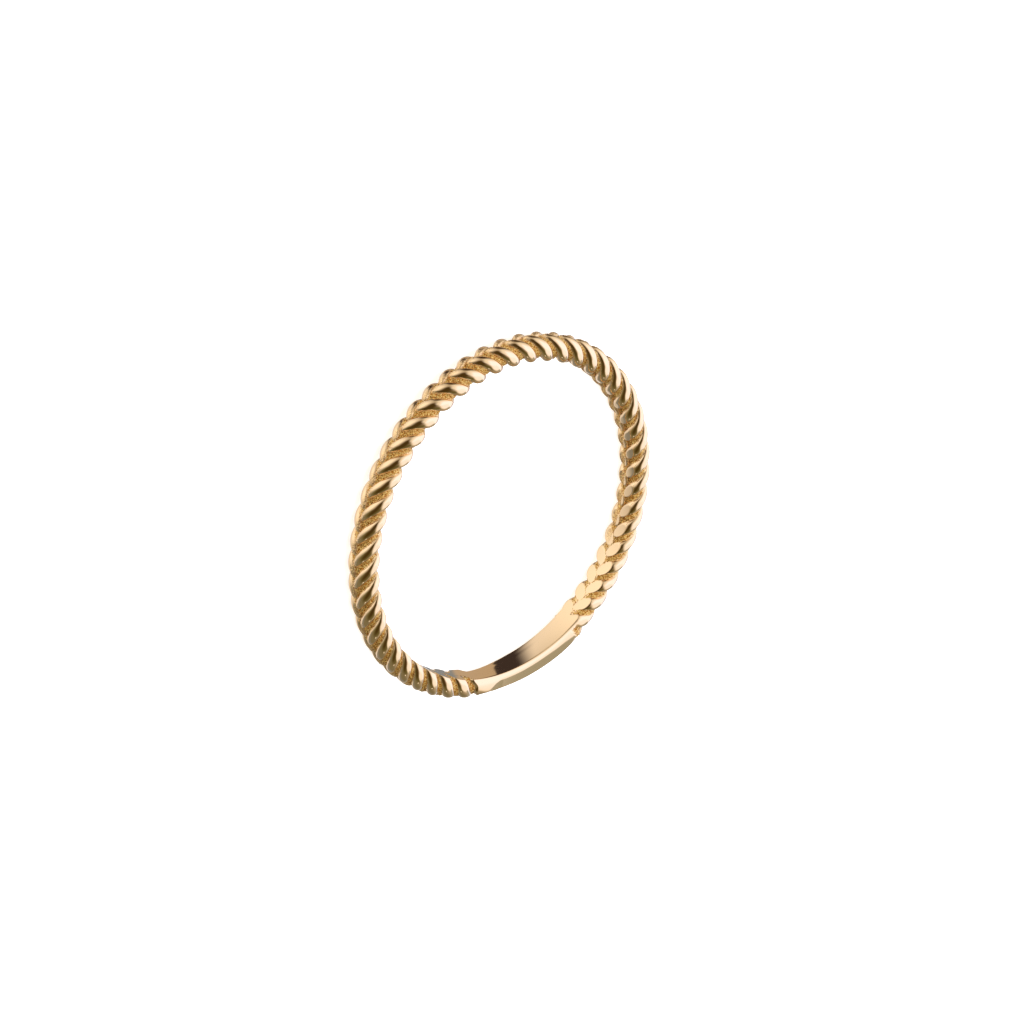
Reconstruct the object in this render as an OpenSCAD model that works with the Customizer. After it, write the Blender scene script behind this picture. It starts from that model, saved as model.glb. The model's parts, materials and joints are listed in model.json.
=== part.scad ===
// Braided finger ring, cast in one piece.
// Two mirrored rows of strands wrap a round band, and a plain plate closes the circle.
// The ring lies flat: the bore's axis is +Z through the origin and the floor is z = 0.
// The plate is on the +Y side. All sizes are millimetres.

/* [Finger bore] */
// Diameter of the finger bore
bore_d = 17; // [14:0.1:20]
// Depth of the flats that the bore leaves on the strands, a quarter turn from the plate
bore_cut = 0.26; // [0.2:0.02:0.5]

/* [Band] */
// Width of the band over the crests of the strands
band_w = 1.62; // [1.5:0.02:2.2]
// How far the circle of the band lies from the axis of the bore, away from the plate
band_shift = 0.12; // [0:0.01:0.18]

/* [Strands] */
// Spacing of the strands along the centre line of the band
strand_pitch = 1.15; // [1:0.05:2]
// Depth of the grooves between the strands
groove_depth = 0.26; // [0.1:0.02:0.4]
// How far a strand runs along the band from its middle to its tip
strand_run = 0.77; // [0.3:0.01:1.2]
// How much further it runs over the outside of the band, and less over the inside
strand_ease = 0.13; // [0:0.01:0.2]

/* [Plate] */
// Length of the plain stretch between the two ends of the braid
plate_l = 7.4; // [6:0.2:12]
// Height of the plate's upper side above the middle of the band
plate_up = 0.76; // [0.5:0.02:0.8]
// Depth of the plate's lower side below the middle of the band
plate_down = 0.6; // [0.4:0.02:0.8]
// Thickness of the plate from the bore to its outer face
plate_t = 0.86; // [0.7:0.02:1.2]
// Length over which the filed faces run out into the round band
plate_blend = 1; // [0.4:0.1:1.5]

/* [Hidden] */

bore_r = bore_d / 2;
crest_r = band_w / 2;
floor_r = crest_r - groove_depth;
circle_r = bore_r + crest_r - bore_cut;
deg_per_mm = 180 / (PI * circle_r);

// The braid starts and ends half a plate from the middle of the plate.
plate_mid = 90;
plate_deg = plate_l * deg_per_mm;
blend_deg = plate_blend * deg_per_mm;
braid_start = plate_mid + plate_deg / 2;
braid_deg = 360 - plate_deg;
braid_end = braid_start + braid_deg;
strand_count = round(braid_deg / (strand_pitch * deg_per_mm));
pitch_deg = braid_deg / strand_count;
run_deg = strand_run * deg_per_mm;
ease_deg = strand_ease * deg_per_mm;

// One spacing of the strands: how far along it, and how high above the groove's floor.
STATIONS = [[0, 0], [0.14, 0], [0.25, 0.78], [0.36, 0.95],
            [0.5, 1], [0.64, 0.95], [0.75, 0.78], [0.86, 0]];
// Height of the furrow where the two rows meet, as a share of the groove's depth.
furrow_share = 0.5;

// How the braid ends against the plate: share of the spacing from the braid's end,
// height of the upper row, height of the lower row, height of the furrow.
END_ROWS = [[0, 0, 1, 0.5], [0.14, 0, 1, 0.6], [0.25, 0.78, 1, 0.85], [0.36, 0.95, 1, 1], [0.5, 1, 1, 1]];
end_deg = END_ROWS[len(END_ROWS) - 1][0] * pitch_deg;
// Steps over which the filed faces run out, and steps along the plate between them.
blend_steps = 3;
plate_steps = 6;

// Places around the section of the band, from outside (0) over the top (90) to inside (180).
SIDE = [12, 38, 64, 90, 116, 142, 168];
AROUND = concat([0], SIDE, [180], [for (k = [len(SIDE) - 1 : -1 : 0]) -SIDE[k]]);
bore_sides = 240;

// Columns of a cross row of the ring. Heights and filing are shares of the full amount.
ANGLE = 0;
UPPER = 1;
LOWER = 2;
FURROW = 3;
FILED = 4;

function mix(a, b, t) = a + (b - a) * t;
function smooth(t) = t * t * (3 - 2 * t);

// How far a strand has run along the band at this place of the section, in degrees of the ring.
function drift(place) =
    let (x = (abs(place) - 90) / 90)
    x * (run_deg - ease_deg * x);

// The lower row repeats the upper one half a spacing further on.
function braid_rows() = [
    for (k = [0 : strand_count - 1], i = [0 : len(STATIONS) - 1])
    let (half = len(STATIONS) / 2, lower = STATIONS[(i + half) % len(STATIONS)])
    [braid_start + (k + STATIONS[i][0]) * pitch_deg, STATIONS[i][1], lower[1], furrow_share, 0]];

function end_row(angle, row) = [angle, row[1], row[2], row[3], 0];
function filed_row(angle, filed) = [angle, 1, 1, 1, filed];

// The plate begins where the braid ends, and is the same from both of its ends.
function plate_rows() = concat(
    [for (row = END_ROWS) end_row(braid_end + row[0] * pitch_deg, row)],
    [for (k = [1 : blend_steps])
        filed_row(braid_end + end_deg + blend_deg * k / blend_steps, smooth(k / blend_steps))],
    [for (k = [1 : plate_steps - 1])
        filed_row(braid_end + mix(end_deg + blend_deg, plate_deg - end_deg - blend_deg, k / plate_steps), 1)],
    [for (k = [blend_steps : -1 : 1])
        filed_row(braid_end + plate_deg - end_deg - blend_deg * k / blend_steps, smooth(k / blend_steps))],
    [for (k = [len(END_ROWS) - 1 : -1 : 1])
        end_row(braid_end + plate_deg - END_ROWS[k][0] * pitch_deg, END_ROWS[k])]);

ROWS = concat(braid_rows(), plate_rows());

// Distance from the axis of the bore to the band's centre line, at this angle.
function centre_r(angle) = circle_r - band_shift * cos(angle - plate_mid);

function height(row, place) =
    (place == 0 || place == 180) ? row[FURROW] : (place > 0 ? row[UPPER] : row[LOWER]);

function band_point(row, place) =
    let (rho = floor_r + groove_depth * height(row, place),
         angle = row[ANGLE] - drift(place),
         up_max = mix(crest_r, plate_up, row[FILED]),
         down_max = mix(crest_r, plate_down, row[FILED]),
         out_max = mix(crest_r, bore_r + plate_t - centre_r(angle), row[FILED]),
         out = min(rho * cos(place), out_max),
         up = max(-down_max, min(up_max, rho * sin(place))),
         r = centre_r(angle) + out)
    [r * cos(angle), r * sin(angle), up];

// Two triangles for each cell of a grid that closes both ways.
function loop_faces(rows, around) = [
    for (j = [0 : rows - 1], k = [0 : around - 1])
    let (a = j * around, b = ((j + 1) % rows) * around, n = (k + 1) % around)
    each [[a + k, a + n, b + n], [a + k, b + n, b + k]]];

module band() {
    polyhedron(points = [for (row = ROWS, place = AROUND) band_point(row, place)],
               faces = loop_faces(len(ROWS), len(AROUND)), convexity = 10);
}

module finger_bore() {
    translate([0, 0, -band_w]) cylinder(h = 2 * band_w, r = bore_r, $fn = bore_sides);
}

module ring() {
    color("#e0b878")
    translate([0, 0, crest_r])
    difference() {
        band();
        finger_bore();
    }
}

ring();
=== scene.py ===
# %% [markdown]
# # A braided gold ring
# A slim finger ring, cast in one piece. Its round band is covered by strands in two mirrored rows,
# and a plain plate with filed sides closes the circle. The CAD part gives the sizes and the place.
# Here the ring gets its real surface: plump polished strands, granular grooves and a polished plate.

# %% Load the part
import json
import math

import bmesh
import bpy
import numpy as np
from mathutils import Matrix, Vector


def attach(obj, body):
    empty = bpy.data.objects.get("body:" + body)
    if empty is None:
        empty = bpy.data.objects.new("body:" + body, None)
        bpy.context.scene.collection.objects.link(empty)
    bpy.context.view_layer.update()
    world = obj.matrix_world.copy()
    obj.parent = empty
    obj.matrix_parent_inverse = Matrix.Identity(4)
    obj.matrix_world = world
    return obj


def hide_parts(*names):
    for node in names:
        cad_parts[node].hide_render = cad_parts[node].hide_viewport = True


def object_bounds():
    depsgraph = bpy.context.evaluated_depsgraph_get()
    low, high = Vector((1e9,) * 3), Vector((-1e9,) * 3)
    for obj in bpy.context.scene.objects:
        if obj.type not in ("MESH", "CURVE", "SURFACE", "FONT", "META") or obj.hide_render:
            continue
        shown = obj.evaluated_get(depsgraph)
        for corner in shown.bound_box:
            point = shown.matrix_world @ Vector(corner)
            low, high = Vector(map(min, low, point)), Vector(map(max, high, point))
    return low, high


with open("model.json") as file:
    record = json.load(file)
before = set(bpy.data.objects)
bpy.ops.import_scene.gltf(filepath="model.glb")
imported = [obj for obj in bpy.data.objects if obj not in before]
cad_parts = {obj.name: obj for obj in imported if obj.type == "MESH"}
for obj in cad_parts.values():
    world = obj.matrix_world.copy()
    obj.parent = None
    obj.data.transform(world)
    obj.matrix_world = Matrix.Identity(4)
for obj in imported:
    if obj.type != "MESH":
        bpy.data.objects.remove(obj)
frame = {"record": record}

MM = 0.001
cad_low, cad_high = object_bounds()
print("the part's box in mm:", [round(v / MM, 2) for v in cad_high - cad_low])

# %% [markdown]
# ## Sizes
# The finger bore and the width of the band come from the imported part. The others are the ring's own
# sizes in millimetres, written once. Angles are degrees round the ring, counted from +X, and a place on
# the band's section runs from 0 on the outside over 90 on top to 180 on the inside.

# %% The ring's sizes
bore_mount = next(m for m in frame["record"]["mounts"] if m["name"] == "finger_bore")
BORE_R = bore_mount["dims"]["r_mm"]
CREST_R = (cad_high.z - cad_low.z) / MM / 2
BORE_CUT = 0.26
BAND_SHIFT = 0.12
CIRCLE_R = BORE_R + CREST_R - BORE_CUT
DEG_PER_MM = 180 / (math.pi * CIRCLE_R)

GROOVE_DEPTH = 0.26
STRAND_RUN = 0.77 * DEG_PER_MM
STRAND_EASE = 0.13 * DEG_PER_MM
STRAND_COUNT = 43

PLATE_MID = 90
PLATE_DEG = 7.4 * DEG_PER_MM
PLATE_DOWN = 0.6
PLATE_T = 0.815
PLATE_T_GAIN = 0.12
BRAID_START = PLATE_MID + PLATE_DEG / 2
BRAID_DEG = 360 - PLATE_DEG
PITCH = BRAID_DEG / STRAND_COUNT
print("strands", STRAND_COUNT, "at", round(PITCH / DEG_PER_MM, 3), "mm")

# %% [markdown]
# ## Camera
# The photograph looks at the ring with a long lens, 42 degrees above the ring's own plane, and the
# picture is turned. The camera keeps that angle to the ring as it lies on the floor.

# %% Camera
VIEW_AZIMUTH = 314.9
VIEW_ELEVATION = 41.7
PICTURE_TURN = 118.1
VIEW_DISTANCE = 331.4
FOCAL_PX = 6560
PICTURE_PX = 1024
SENSOR_MM = 36
RING_AT_PX = (501.4, 515.9)
NEAREST_SEEN = 0.01
FARTHEST_SEEN = 10


def direction(azimuth, elevation):
    a, e = math.radians(azimuth), math.radians(elevation)
    return Vector((math.cos(a) * math.cos(e), math.sin(a) * math.cos(e), math.sin(e)))


def make_camera():
    back = direction(VIEW_AZIMUTH, VIEW_ELEVATION)
    level = Vector((0, 0, 1)).cross(back).normalized()
    above = back.cross(level)
    turn = math.radians(PICTURE_TURN)
    right = math.cos(turn) * level + math.sin(turn) * above
    up = back.cross(right)
    centre = Vector((0, -BAND_SHIFT, CREST_R)) * MM
    mm_per_px = VIEW_DISTANCE / FOCAL_PX
    off_x = (PICTURE_PX / 2 - RING_AT_PX[0]) * mm_per_px * MM
    off_y = (RING_AT_PX[1] - PICTURE_PX / 2) * mm_per_px * MM
    place = centre + VIEW_DISTANCE * MM * back + off_x * right + off_y * up
    data = bpy.data.cameras.new("camera")
    data.sensor_width = SENSOR_MM
    data.lens = SENSOR_MM * FOCAL_PX / PICTURE_PX
    data.clip_start = NEAREST_SEEN
    data.clip_end = FARTHEST_SEEN
    camera = bpy.data.objects.new("camera", data)
    turned = Matrix((right, up, back)).transposed().to_4x4()
    camera.matrix_world = Matrix.Translation(place) @ turned
    bpy.context.scene.collection.objects.link(camera)
    bpy.context.scene.camera = camera
    return camera


camera = make_camera()
print("lens", round(camera.data.lens, 1), "mm")

# %% [markdown]
# ## The strands
# Each strand wraps half of the band's section and leans along the ring in an S. The upper row and the
# lower row mirror each other, half a spacing apart, so their tips interleave in a furrow on the outside
# and one on the inside. A function gives the height of the surface at any angle and place.

# %% Soft changes
# Most shapes below start or end softly between two angles or places. Such a pair is called a span
# here, and it may also run downwards.


def smooth(t):
    t = np.clip(t, 0, 1)
    return t * t * (3 - 2 * t)


def ramp(value, span):
    """0 before the span and 1 past it."""
    start, end = span
    return smooth((value - start) / (end - start))


def window(value, rise, fall):
    """1 between the two spans and 0 outside them."""
    return ramp(value, rise) * ramp(value, fall)


# %% Height of the strands
STRAND_SHARE = 0.74
TIP_START = 46
TIP_END = 99
TIP_POWER = 2.4
SIDE_POWER = 1.9
CROWN_POWER = 2.1
HALF_PLATE_TURNS = 3


def drift(along):
    """A strand leans more over the outside of the band than over the inside."""
    x = (along - 90) / 90
    return x * (STRAND_RUN - STRAND_EASE * x)


def strand_turn(angle, along):
    """How many strands lie between the start of the braid and this point, below 0 in the plate."""
    turn = (angle + drift(along) - BRAID_START) / PITCH
    return np.where(turn > STRAND_COUNT + HALF_PLATE_TURNS, turn - 360 / PITCH, turn)


def strand_height(turn, along, offset, plain):
    """0 on the groove's floor and 1 on a crest, for a row of strands that starts at offset."""
    turn = np.clip(turn, -offset, STRAND_COUNT + offset) + 0.5 - offset
    across = np.abs(turn % 1 - 0.5) * 2 / STRAND_SHARE
    tip = np.clip((np.abs(along - 90) - TIP_START) / (TIP_END - TIP_START), 0, None) * (1 - plain)
    reach = across ** SIDE_POWER + tip ** TIP_POWER
    return np.clip(1 - reach, 0, 1) ** (1 / CROWN_POWER)


# %% [markdown]
# ## One skin for the whole ring
# The skin starts as a flat sheet of quads. Its long side is rolled round the finger bore and its short
# side round the band's section, and the four edges are welded. Every point then gets the height that
# the strands have there, and slides along the band with their lean, so the rows of the mesh run along
# the strands and their sides stay crisp.

# %% Lay out the sheet
ROWS_A_STRAND = 24
PLATE_ROWS = 152
BRAID_ROWS = ROWS_A_STRAND * STRAND_COUNT
ROWS = BRAID_ROWS + PLATE_ROWS
AROUND = 84
FURROW_CROWD = 0.2


def make_sheet():
    bm = bmesh.new()
    bmesh.ops.create_grid(bm, x_segments=ROWS, y_segments=AROUND, size=0.5)
    mesh = bpy.data.meshes.new("ring_skin")
    bm.to_mesh(mesh)
    bm.free()
    return mesh


def read_points(mesh):
    points = np.empty(len(mesh.vertices) * 3)
    mesh.vertices.foreach_get("co", points)
    return points.reshape(-1, 3)


def row_angle(row):
    """Rows are even along the braid, and even along the plate."""
    in_braid = BRAID_START + row * PITCH / ROWS_A_STRAND
    in_plate = BRAID_START + BRAID_DEG + (row - BRAID_ROWS) * PLATE_DEG / PLATE_ROWS
    return np.where(row <= BRAID_ROWS, in_braid, in_plate)


mesh = make_sheet()
sheet = read_points(mesh)
row = np.round((sheet[:, 0] + 0.5) * ROWS)
column = np.round((sheet[:, 1] + 0.5) * AROUND)
even = column / AROUND * 360 - 180
place = even - np.degrees(FURROW_CROWD * np.sin(np.radians(2 * even)))
plain_row = row_angle(row)
angle = plain_row - drift(np.abs(place))
print("quads", len(mesh.polygons))

# %% The two rows of strands
into_plate = np.minimum(plain_row - BRAID_START - BRAID_DEG, BRAID_START + 360 - plain_row)
plain = ramp(into_plate, (0, PITCH / 2))
upper_along = np.where(place > -90, place, place + 360)
lower_along = np.where(place < 90, -place, 360 - place)
upper_turn = strand_turn(angle, upper_along)
lower_turn = strand_turn(angle, lower_along)
upper = strand_height(upper_turn, upper_along, 0.5, plain)
lower = strand_height(lower_turn, lower_along, 0, plain)

# %% [markdown]
# ## Where the braid meets the plate
# The last groove at each end is cut into the solid metal of the plate, so the plate starts there with
# a steep wall. The grooves beside it stop short of the bore, because the bore's polish took their
# shallow ends away. Both are made in the height of the rows, so the skin needs no extra cut.

# %% The two ends of the plate
WALL = 0.9
WALL_FOOT = 0.3
LEFT_EDGE = 360 + 68
LEFT_EDGE_LEAN = 2.2
LEFT_EDGE_SPAN = (85, 120)

past_left = (upper_turn - STRAND_COUNT) * PITCH
left_edge = LEFT_EDGE - LEFT_EDGE_LEAN * ramp(upper_along, LEFT_EDGE_SPAN)
left_wall = smooth(np.minimum(past_left - WALL_FOOT, angle - left_edge) / WALL)
right_wall = smooth((-upper_turn * PITCH - WALL_FOOT) / WALL)
plate_end = strand_height(0 * upper_turn, upper_along, 0, plain)
upper = np.where(upper_turn > STRAND_COUNT, plate_end * left_wall, upper)
upper = np.where(upper_turn < 0, plate_end * right_wall, upper)

# %% The first grooves run out before the bore
UPPER_FILL = (92, 108)
LOWER_FILL = (115, 135)
FILL_END = (200, 190)
UPPER_FILL_TURNS = 0.5
LOWER_FILL_TURNS = 1

upper_fill = window(upper_along, UPPER_FILL, FILL_END)
lower_fill = window(lower_along, LOWER_FILL, FILL_END)
upper = np.maximum(upper, upper_fill * (upper_turn < UPPER_FILL_TURNS))
lower = np.maximum(lower, lower_fill * (lower_turn < LOWER_FILL_TURNS))
height = np.maximum(upper, lower)

# %% [markdown]
# ## Grooves
# Only the crests can be polished. The grooves keep the skin of the casting, with small grains that
# catch the light. Each point in a groove is pushed in or out a little by chance, and the same share
# tells the gold's material where the cast skin is. Texture alone would leave the groove's edge smooth.

# %% Where the cast skin is
GRAIN = 0.03
TIP_GRAIN = 0.4
GRAIN_TOP = 0.3
GRAIN_TOP_OUTSIDE = 0.25
OUTSIDE_SPAN = (75, 45)
TIP_SPAN = (68, 86)
NOTCH_START = (111.5, 113)
NOTCH_END = (115.5, 114)
NOTCH_FOOT = (0, 20)
NOTCH_TOP = (108, 100)

random = np.random.default_rng(11)
degrees = angle % 360
from_outside = np.abs(place)
grain_top = GRAIN_TOP + GRAIN_TOP_OUTSIDE * ramp(from_outside, OUTSIDE_SPAN)
in_groove = smooth(1 - height / grain_top)
near_tip = ramp(np.abs(from_outside - 90), TIP_SPAN) * (1 - plain)
in_notch = window(degrees, NOTCH_START, NOTCH_END) * window(place, NOTCH_FOOT, NOTCH_TOP)
rough = np.maximum(in_groove, np.maximum(TIP_GRAIN * near_tip, in_notch))
grains = random.normal(0, GRAIN, (ROWS, AROUND))
grain = grains[row.astype(int) % ROWS, column.astype(int) % AROUND]

# %% Depth of the grooves
INNER_DEPTH = 0.07
INNER_SPAN = (110, 170)
SHALLOW_SHARE = 0.35
SHALLOW_SPAN = (40, 28)
INNER_EASE = 0.1
EASE_SPAN = (52, 72)
PLATE_EDGE = 0.012
PLATE_EDGE_START = 103
PLATE_EDGE_RUN = 18
SQUARE_EDGE = 0.08
SQUARE_RISE = (15, 40)
SQUARE_FALL = (90, 70)

# The grooves are shallower beside the plate, and deeper on the inside of the ring.
inside = ramp(from_outside, INNER_SPAN)
away = np.abs((angle - PLATE_MID + 180) % 360 - 180)
shallow = 1 - SHALLOW_SHARE * ramp(away, SHALLOW_SPAN) * (1 - inside)
depth = (GROOVE_DEPTH * shallow + INNER_DEPTH * inside) * (1 - height)
ease = INNER_EASE * inside * ramp(away, EASE_SPAN)
# The plate's section is squarer than the band's, so that its filed faces meet in a crisp edge.
full_edge = PLATE_EDGE * plain * np.clip((place - PLATE_EDGE_START) / PLATE_EDGE_RUN, 0, 1)
square_edge = SQUARE_EDGE * ramp(into_plate, (0, PITCH)) * window(place, SQUARE_RISE, SQUARE_FALL)
rho = CREST_R - depth - ease + grain * rough + full_edge + square_edge

# %% [markdown]
# ## Filed faces
# A goldsmith files the plate flat on its upper side, its underside and its outer face, and its edges
# stay crisp. Each face is a limit that the round section can't pass, and a soft minimum leaves the
# tiny round edge that a file and a polishing cloth leave.

# %% Outer face of the plate
CORNER_ROUND = 0.01
EDGE_ROUND = 0.012
FREE_ROOM = 0.1
FREE = CREST_R + FREE_ROOM
FILED_RIGHT_END = (114.5, 112.5)
FILED_LEFT_END = (66.5, 69.5)
OUTER_LEFT_END = (63, 75)
THICKNESS_SPAN = (80, 112)


def soft_max(a, b, size):
    return (a + b + np.sqrt((a - b) ** 2 + size * size)) / 2


def soft_min(a, b, size):
    return -soft_max(-a, -b, size)


def ring_centre(angle):
    return CIRCLE_R - BAND_SHIFT * np.cos(np.radians(angle - PLATE_MID))


def between(free, face, share):
    """A face that cuts nothing where share is 0, and is in place where it is 1."""
    return free + share * (face - free)


centre_r = ring_centre(angle)
filed = window(degrees, FILED_LEFT_END, FILED_RIGHT_END)
filed_outside = window(degrees, OUTER_LEFT_END, FILED_RIGHT_END)
thickness = PLATE_T + PLATE_T_GAIN * ramp(degrees, THICKNESS_SPAN)
outer_face = between(FREE, BORE_R + thickness - centre_r, filed_outside)
out = soft_min(rho * np.cos(np.radians(place)), outer_face, EDGE_ROUND + CORNER_ROUND * filed)

# %% Upper side of the plate
FACET_MID = 93
FACET_TILT = math.radians(6)
FACET_UP = 0.766
FACET_RISE = 0.065
FACET_RISE_SPAN = (80, 74)
TOP_FLAT = 0.03
TOP_ROUND = EDGE_ROUND / 2

# The upper side is a facet, tilted outwards. It is flat towards its right end, follows the ring
# towards its left end, and runs out there in a short curve.
straight = np.radians(np.maximum(degrees - FACET_MID, 0))
beyond = (centre_r + out) * np.cos(straight) - ring_centre(FACET_MID)
facet = (FACET_UP - beyond * math.sin(FACET_TILT)) / math.cos(FACET_TILT)
facet = facet + FACET_RISE * ramp(degrees, FACET_RISE_SPAN)
top_face = soft_min(facet, CREST_R - TOP_FLAT * (1 - filed), TOP_ROUND)

# %% Underside of the plate
UNDER_TAPER = 0.31
TAPER_SPAN = (66, 90)

under_edge = PLATE_DOWN - UNDER_TAPER * (1 - ramp(degrees, TAPER_SPAN))
under_face = np.minimum(PLATE_DOWN, under_edge + np.maximum(centre_r + out - BORE_R, 0))
under_face = between(FREE, under_face, filed)
up = rho * np.sin(np.radians(place))
up = np.where(up > 0, soft_min(up, top_face, TOP_ROUND), -soft_min(-up, under_face, EDGE_ROUND))

# %% [markdown]
# ## Bore
# The bore is ground and polished last, so it cuts a smooth land into the plate and small flats into
# the strands. It is a limit too: no point lies nearer to the axis than the bore's radius. The land is
# crowned by a hair, as a polished band is, and that spreads its reflections.

# %% Bore and cast skin inside
INNER_CROWN = 0.038
LOWER_ROUND = 0.06
LOWER_ROUND_DEPTH = 0.3
BORE_TOUCH = 0.02
CAST_FROM = (52, 62)
CAST_START = (140, 148)
CAST_END = (172, 164)

bore_round = EDGE_ROUND + LOWER_ROUND * filed * smooth(-up / LOWER_ROUND_DEPTH)
radius = soft_max(centre_r + out, BORE_R + INNER_CROWN * up ** 2, bore_round)
on_bore = smooth((BORE_R - centre_r - out) / BORE_TOUCH)

# The lower row's ends keep their cast skin inside the far half of the ring.
cast = ramp(away, CAST_FROM) * window(-place, CAST_START, CAST_END)
radius += np.abs(grain) * cast
turn = np.radians(angle)
points = np.stack([radius * np.cos(turn), radius * np.sin(turn), up + CREST_R], axis=1)
points[:, 2] = np.clip(points[:, 2], 0, 2 * CREST_R)

# %% Make the ring's object
WELD = 1e-3 * MM
CAST_SHARE = 0.7


def roll_up(mesh, points):
    mesh.vertices.foreach_set("co", (points * MM).ravel())
    # Besides the cast skin's roughness and grain, this share places the gold's painted groove shade and
    # painted bounce light.
    mark = mesh.attributes.new("groove", "FLOAT", "POINT")
    mark.data.foreach_set("value", np.maximum(rough * (1 - on_bore), CAST_SHARE * cast))
    bm = bmesh.new()
    bm.from_mesh(mesh)
    edge_points = [v for v in bm.verts if v.is_boundary]
    bmesh.ops.remove_doubles(bm, verts=edge_points, dist=WELD)
    bmesh.ops.recalc_face_normals(bm, faces=bm.faces[:])
    for face in bm.faces:
        face.smooth = True
    print("open edges", sum(e.is_boundary for e in bm.edges), "quads", len(bm.faces))
    bm.to_mesh(mesh)
    bm.free()


roll_up(mesh, points)
skin = bpy.data.objects.new("ring_skin", mesh)
bpy.context.scene.collection.objects.link(skin)
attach(skin, "root")
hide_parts("ring")

# %% [markdown]
# ## Gold
# Yellow gold of 18 carat, cast and polished. Metal has no colour of its own under the reflections, so
# its base colour is the colour that it gives to white light, and the polish decides how sharp they are.
# The cast skin in the grooves scatters light between its grains, which takes its mirror image away. It is
# made half metallic for that. Its deeper colour is painted: a painted reflection of light bounced between
# the grains, with painted shade in their crevices, and the groove attribute mixes it in.

# %% Helpers for materials


def linear(hex_colour):
    values = [int(hex_colour[i:i + 2], 16) / 255 for i in (1, 3, 5)]
    return tuple(v / 12.92 if v <= 0.04045 else ((v + 0.055) / 1.055) ** 2.4 for v in values) + (1,)


def add(tree, kind, links=(), **settings):
    """Adds a node, sets its values and inputs, and links (input, output socket) pairs."""
    node = tree.nodes.new(kind)
    for name, value in settings.items():
        if name.startswith("in_"):
            node.inputs[int(name[3:])].default_value = value
        else:
            setattr(node, name, value)
    for socket, source in links:
        tree.links.new(source, node.inputs[socket])
    return node


def empty_material(name):
    material = bpy.data.materials.new(name)
    material.use_nodes = True
    material.node_tree.nodes.clear()
    return material


# %% Cast and polished gold
GOLD = "#ffdcae"
# Painted light in the grooves: the grains' tops get a painted deeper yellow of bounced light, their
# crevices painted shade.
PAINTED_BOUNCE_GOLD = "#ffd680"
PAINTED_CREVICE_SHADE = "#c07a1c"
GROOVE_METALLIC = 0.5
# Polish gives the eye sharp pale and dark reflections. The cast skin's sandy, deeper yellow is painted
# light bounced between its grains, with painted shade in its crevices.
POLISH = 0.07
GROOVE_ROUGHNESS = 0.2
# The grains are about 0.07 mm wide, a pixel or two in the picture, and are drawn at that size.
GRAIN_SIZE = 0.07 * MM
GRAIN_HEIGHT = 0.07 * MM
GRAIN_DETAIL = 2.0
# These two levels of the sand pattern divide painted crevice shade from the painted bounce-light yellow.
GRAIN_LOW = 0.43
GRAIN_HIGH = 0.56


def make_gold():
    material = empty_material("cast and polished gold")
    tree = material.node_tree
    groove = add(tree, "ShaderNodeAttribute", attribute_name="groove")
    where = add(tree, "ShaderNodeTexCoord")
    sand = add(tree, "ShaderNodeTexNoise", [(0, where.outputs["Object"])],
               in_2=1 / GRAIN_SIZE, in_3=GRAIN_DETAIL)
    raised = add(tree, "ShaderNodeMapRange", [(0, sand.outputs[0])], in_1=GRAIN_LOW, in_2=GRAIN_HIGH)
    # The sand's low parts get painted crevice shade, its high parts a painted deeper yellow of bounced
    # light.
    painted_groove_shade = add(tree, "ShaderNodeMix", [(0, raised.outputs[0])], data_type="RGBA",
                    in_6=linear(PAINTED_CREVICE_SHADE), in_7=linear(PAINTED_BOUNCE_GOLD))
    colour = add(tree, "ShaderNodeMix", [(0, groove.outputs["Fac"]), (7, painted_groove_shade.outputs[2])],
                 data_type="RGBA", in_6=linear(GOLD))
    rough = add(tree, "ShaderNodeMapRange", [(0, groove.outputs["Fac"])],
                in_3=POLISH, in_4=GROOVE_ROUGHNESS)
    bump = add(tree, "ShaderNodeBump", [("Height", sand.outputs[0]), ("Strength", groove.outputs["Fac"])])
    bump.inputs["Distance"].default_value = GRAIN_HEIGHT
    metallic = add(tree, "ShaderNodeMapRange", [(0, groove.outputs["Fac"])],
                   in_3=1, in_4=GROOVE_METALLIC)
    gold = add(tree, "ShaderNodeBsdfPrincipled",
               [("Base Color", colour.outputs[2]), ("Roughness", rough.outputs[0]),
                ("Metallic", metallic.outputs[0]), ("Normal", bump.outputs[0])])
    add(tree, "ShaderNodeOutputMaterial", [(0, gold.outputs[0])])
    return material


mesh.materials.append(make_gold())

# %% [markdown]
# ## Floor
# The ring lies on plain pale paper over a light table, so its shadow stays faint. One wide lamp lights
# the paper from above, and the gold doesn't mirror the lamp or the paper, because the studio round it
# already holds all that it should show.

# %% Floor and its lamp
FLOOR_SIZE = 2.0
LAMP_SIZE = 1.2
LAMP_HEIGHT = 1.0
LAMP_POWER = 9
# Matt paper gives the eye one even pale tone, without a highlight.
PAPER = "#f6f5f3"
PAPER_ROUGHNESS = 0.9
TABLE_LIGHT = "#ffffff"
PAPER_GLOW = 0.7


def make_floor():
    bm = bmesh.new()
    bmesh.ops.create_grid(bm, x_segments=1, y_segments=1, size=FLOOR_SIZE / 2)
    mesh = bpy.data.meshes.new("floor")
    bm.to_mesh(mesh)
    bm.free()
    floor = bpy.data.objects.new("floor", mesh)
    bpy.context.scene.collection.objects.link(floor)
    material = empty_material("matt white paper")
    tree = material.node_tree
    paper = add(tree, "ShaderNodeBsdfPrincipled")
    paper.inputs["Base Color"].default_value = linear(PAPER)
    paper.inputs["Roughness"].default_value = PAPER_ROUGHNESS
    paper.inputs["Emission Color"].default_value = linear(TABLE_LIGHT)
    paper.inputs["Emission Strength"].default_value = PAPER_GLOW
    add(tree, "ShaderNodeOutputMaterial", [(0, paper.outputs[0])])
    mesh.materials.append(material)
    floor.visible_glossy = False


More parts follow.
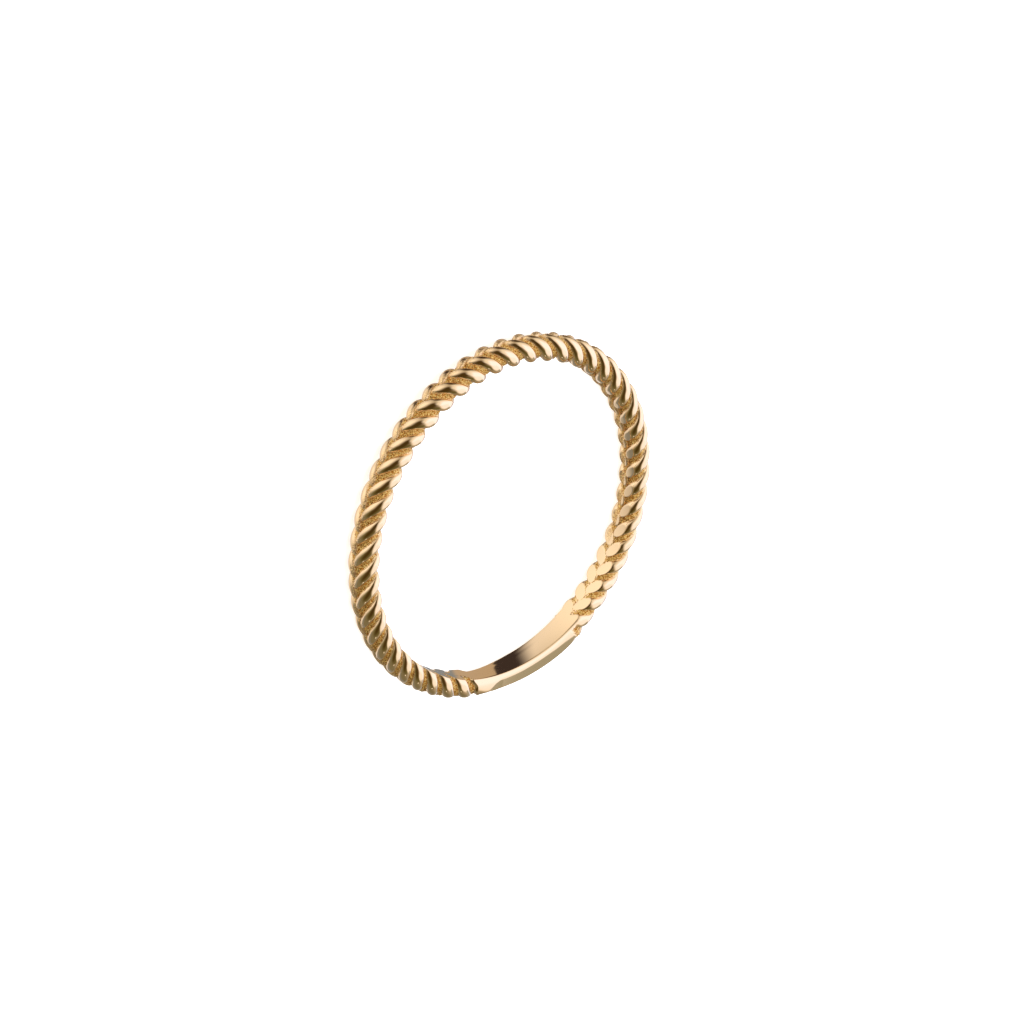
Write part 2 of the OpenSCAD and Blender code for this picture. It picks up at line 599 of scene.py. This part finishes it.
def make_lamp():
    data = bpy.data.lights.new("paper lamp", "AREA")
    data.shape = "DISK"
    data.size = LAMP_SIZE
    data.energy = LAMP_POWER
    lamp = bpy.data.objects.new("paper lamp", data)
    lamp.location = (0, 0, LAMP_HEIGHT)
    lamp.visible_glossy = False
    bpy.context.scene.collection.objects.link(lamp)


make_floor()
make_lamp()

# %% [markdown]
# ## Studio light
# Polished metal shows what stands round it. The studio is a dim tent with a large soft box behind the
# ring, one beside the camera, and dark gaps between them. Each is a soft-edged rectangle on the
# world's sky: its direction, its size in degrees, its turn, its soft edge, its colour and its light.
# The camera itself sees a plain pale backdrop instead of the boxes.

# %% Soft boxes and dark gaps
TENT = "#b1a99c"
# azimuth, elevation, width, height, turn, soft edge, colour, light
CARDS = {
    "floor glow": (0, -90, 108, 108, 0, 20, "#fbfbff", 0.85),
    "side wall": (45, 5, 150, 80, 15, 45, "#7c7a66", 1.0),
    "side wall, upper": (38, 48, 96, 54, -20, 30, "#66623e", 1.0),
    "side wall, foot": (52, -28, 88, 27, 0, 5, "#878b8c", 1.0),
    "front soft box": (300, -16, 74, 80, 0, 56, "#ffffff", 1.15),
    "dark roof": (340, 66, 100, 52, 13, 34, "#493b1c", 1.0),
    "back soft box": (186, 28, 105, 108, -13, 22, "#ffffff", 0.9),
    "back soft box, bright": (170, 33, 60, 84, 37, 24, "#dae2ff", 1.7),
    "back soft box, foot": (144, -10, 30, 45, 2, 2, "#d3dfff", 1.2),
    "gap": (212, -16, 82, 29, -33, 21, "#675e4b", 1.0),
    "gap, dark": (226, -20, 28, 21, -8, 12, "#3b250b", 1.0),
    "gap, foot": (215, -42, 30, 32, 0, 14, "#3c3536", 1.0),
    "low panel": (188, -42, 28, 40, 0, 1, "#bcae9c", 1.0),
    "blue panel": (156, -44, 22, 28, 0, 4, "#87919c", 1.0),
    "post": (124, 5, 10, 60, 10, 5, "#a5a9a3", 1.0),
    "small lamp": (80, 25, 6, 6, 0, 3, "#ffffff", 1.5),
}
BACKDROP = "#f6f5f3"


def card_axes(azimuth, elevation, turn):
    towards = direction(azimuth, elevation)
    level = Vector((math.sin(math.radians(azimuth)), -math.cos(math.radians(azimuth)), 0))
    above = level.cross(towards)
    t = math.radians(turn)
    return math.cos(t) * level + math.sin(t) * above, math.cos(t) * above - math.sin(t) * level, towards


def add_card(tree, ray, light, card):
    """Lays one card over the light so far, or over the bare tent, and returns the new light."""
    azimuth, elevation, width, height, turn, soft, colour, strength = card
    x_axis, y_axis, towards = card_axes(azimuth, elevation, turn)
    ahead = add(tree, "ShaderNodeVectorMath", [(0, ray)], operation="DOT_PRODUCT", in_1=towards)
    cover = None
    for axis, size in ((x_axis, width), (y_axis, height)):
        across = add(tree, "ShaderNodeVectorMath", [(0, ray)], operation="DOT_PRODUCT", in_1=axis)
        size_of = add(tree, "ShaderNodeMath", [(0, across.outputs["Value"])], operation="ABSOLUTE")
        off = add(tree, "ShaderNodeMath", [(0, size_of.outputs[0]), (1, ahead.outputs["Value"])],
                  operation="ARCTAN2")
        inside = add(tree, "ShaderNodeMapRange", [(0, off.outputs[0])], interpolation_type="SMOOTHSTEP",
                     in_1=math.radians(size + soft) / 2, in_2=math.radians(size - soft) / 2)
        if cover is None:
            cover = inside
        else:
            cover = add(tree, "ShaderNodeMath", [(0, cover.outputs[0]), (1, inside.outputs[0])],
                        operation="MULTIPLY")
    shine = tuple(strength * value for value in linear(colour)[:3]) + (1,)
    mixed = add(tree, "ShaderNodeMix", [(0, cover.outputs[0])], data_type="RGBA",
                in_6=linear(TENT), in_7=shine)
    if light:
        tree.links.new(light, mixed.inputs[6])
    return mixed.outputs[2]


def make_studio():
    world = bpy.data.worlds.new("studio")
    bpy.context.scene.world = world
    world.use_nodes = True
    tree = world.node_tree
    tree.nodes.clear()
    where = add(tree, "ShaderNodeTexCoord")
    light = None
    for card in CARDS.values():
        light = add_card(tree, where.outputs["Generated"], light, card)
    ray_kind = add(tree, "ShaderNodeLightPath")
    seen = add(tree, "ShaderNodeMix", [(0, ray_kind.outputs["Is Camera Ray"]), (6, light)],
               data_type="RGBA", in_7=linear(BACKDROP))
    background = add(tree, "ShaderNodeBackground", [("Color", seen.outputs[2])])
    add(tree, "ShaderNodeOutputWorld", [(0, background.outputs[0])])


make_studio()
bpy.context.scene.view_settings.view_transform = "Standard"
